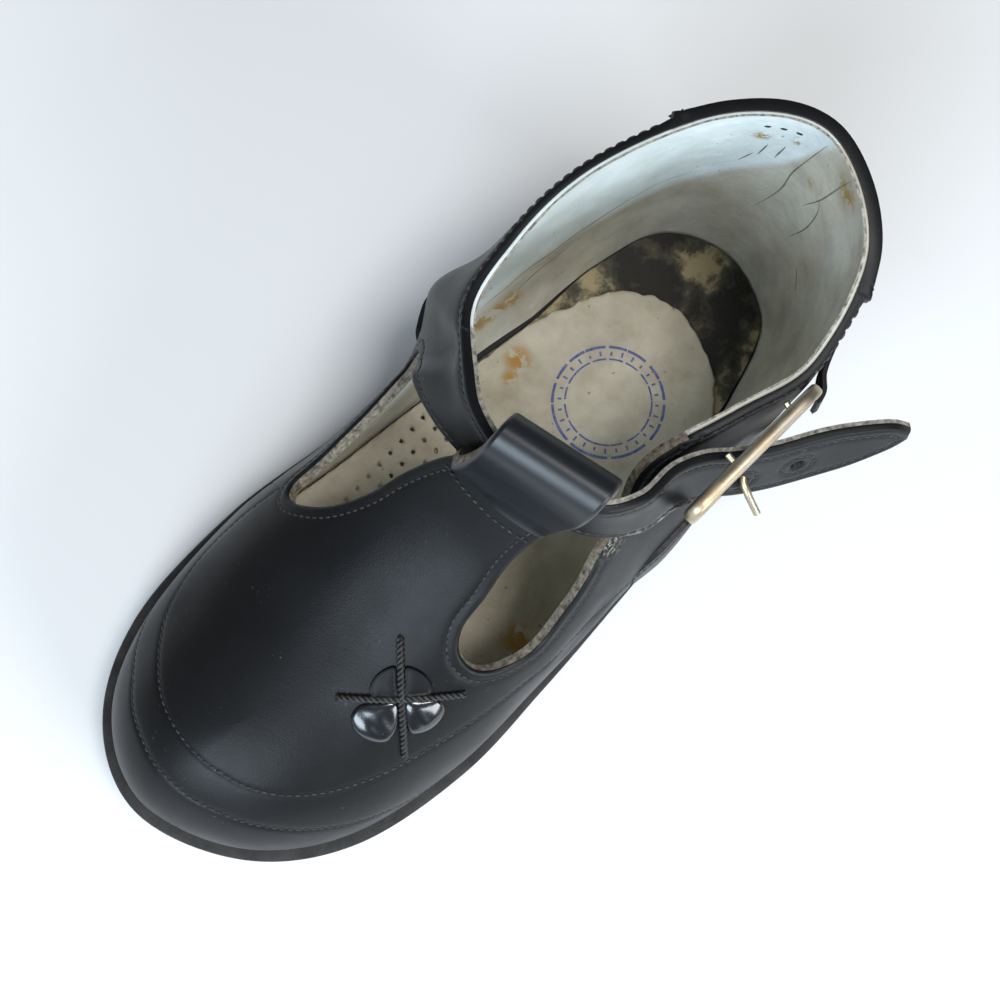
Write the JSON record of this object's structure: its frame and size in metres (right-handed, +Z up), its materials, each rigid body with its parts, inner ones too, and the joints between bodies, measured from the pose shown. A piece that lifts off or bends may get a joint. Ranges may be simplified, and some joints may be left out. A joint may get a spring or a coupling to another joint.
{
  "type": "ankle bootie",
  "caption": "Child's black leather T-bar ankle bootie with teardrop cut-outs, a buckled ankle strap, a stitched vamp ornament and a low rubber sole.",
  "frame": {"origin": "middle of the heel tread, on the floor", "axes": "+X to the toe, +Y to the lateral (buckle) side, +Z up"},
  "size_m": [0.1656, 0.0831, 0.0866],
  "materials": {
    "black_leather": "smooth semi-gloss calf",
    "patent_leather": "glossy",
    "sole_rubber": "matt, worn",
    "sock_leather": "matt, stained",
    "buckle_metal": "pale, lightly worn"
  },
  "bodies": {
    "root": {"upper": "black_leather", "heel_counter": "black_leather", "back_tab": "black_leather", "vamp_wing_lateral": "black_leather", "vamp_wing_medial": "black_leather", "t_bar_loop": "black_leather", "strap": "black_leather", "buckle_chape": "black_leather", "ornament_cord": "black_leather", "ornament_petal_back_left": "patent_leather", "ornament_petal_back_right": "patent_leather", "ornament_petal_front_left": "patent_leather", "ornament_petal_front_right": "patent_leather", "outsole": "sole_rubber", "welt": "sole_rubber", "insole": "sock_leather", "buckle_frame": "buckle_metal", "buckle_prong": "buckle_metal"}
  },
  "joints": []
}
